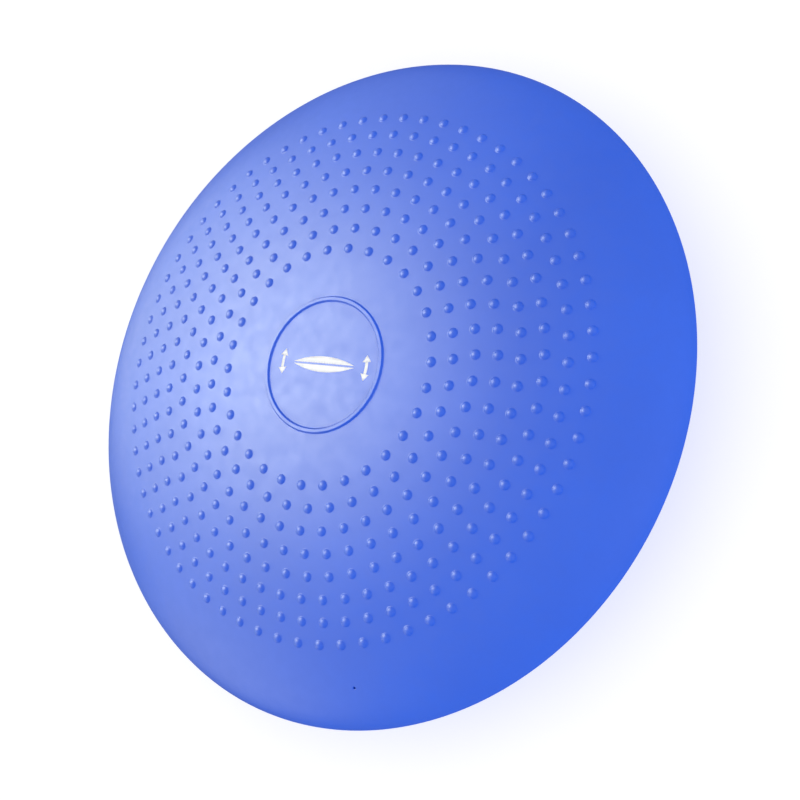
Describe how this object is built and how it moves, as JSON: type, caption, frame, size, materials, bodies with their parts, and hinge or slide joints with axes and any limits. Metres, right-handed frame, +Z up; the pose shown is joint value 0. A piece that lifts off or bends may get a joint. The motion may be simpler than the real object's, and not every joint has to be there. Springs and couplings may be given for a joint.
{
  "type": "wobble cushion",
  "caption": "Inflatable round wobble cushion with rows of massage nubs around a raised centre ring, and a flush needle valve near the rim.",
  "frame": {"origin": "centre of the patch that rests on the floor", "axes": "+Z up through the centre of both faces; +X along the printed centre mark, to its right; +Y to its top"},
  "size_m": [0.33, 0.33, 0.0816],
  "materials": {
    "soft_pvc": "satin soft vinyl",
    "valve_pvc": "matte soft vinyl",
    "valve_rubber": "matte rubber",
    "print_white": "screen-printed ink"
  },
  "bodies": {
    "base": {"lower_face": "soft_pvc", "lower_wall": "soft_pvc"},
    "rim": {"rim_band": "soft_pvc", "upper_wall": "soft_pvc", "valve_seat": "valve_pvc", "valve_core": "valve_rubber"},
    "top": {"upper_face": "soft_pvc", "massage_nubs": "soft_pvc"}
  },
  "joints": [
    {"name": "fore_aft_tilt", "type": "hinge", "parent": "base", "child": "rim", "pos_m": [0, 0, 0.03925], "axis": [1, 0, 0], "range_deg": [-8, 8], "stiffness_Nm_per_rad": 50, "deforming": ["lower_wall"]},
    {"name": "side_tilt", "type": "hinge", "parent": "rim", "child": "top", "pos_m": [0, 0, 0.03925], "axis": [0, 1, 0], "range_deg": [-8, 8], "stiffness_Nm_per_rad": 50, "deforming": ["upper_wall"]}
  ]
}
